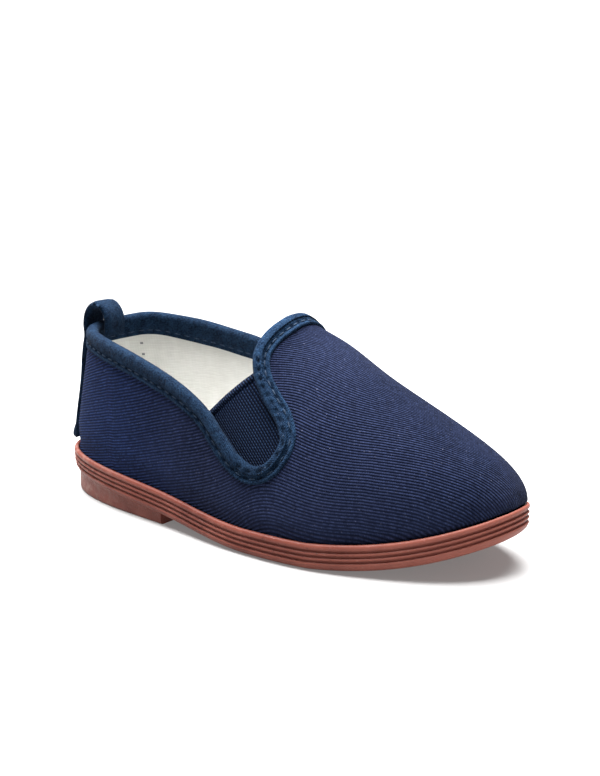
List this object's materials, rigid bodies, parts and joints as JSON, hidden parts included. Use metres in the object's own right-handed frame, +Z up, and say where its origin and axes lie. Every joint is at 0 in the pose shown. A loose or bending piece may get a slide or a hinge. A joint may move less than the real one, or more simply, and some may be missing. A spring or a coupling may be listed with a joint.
{
  "type": "slip-on canvas plimsoll",
  "caption": "Child's right slip-on shoe: twill canvas upper with taped collar, elastic side gussets, heel pull strip and a ribbed one-piece rubber sole.",
  "frame": {"origin": "middle of the bounding box on the floor, under the arch of the sole", "axes": "+X towards the toe, +Y towards the inner (big toe) side, +Z up"},
  "size_m": [0.173, 0.0655, 0.0698],
  "materials": {
    "rubber": "terracotta moulded rubber, satin, fine ribs round the side",
    "twill_canvas": "navy cotton twill with a fine diagonal rib, matt, cotton lining inside",
    "cotton_tape": "soft teal navy cotton tape, matt, stitched in its own colour",
    "elastic": "dark navy ribbed elastic webbing",
    "cotton_lining": "off-white plain-weave cotton"
  },
  "bodies": {
    "root": {"outsole": "rubber", "insole": "cotton_lining", "upper": "twill_canvas", "binding": "cotton_tape", "gore_outer": "elastic", "gore_inner": "elastic", "heel_strip": "cotton_tape"}
  },
  "joints": []
}
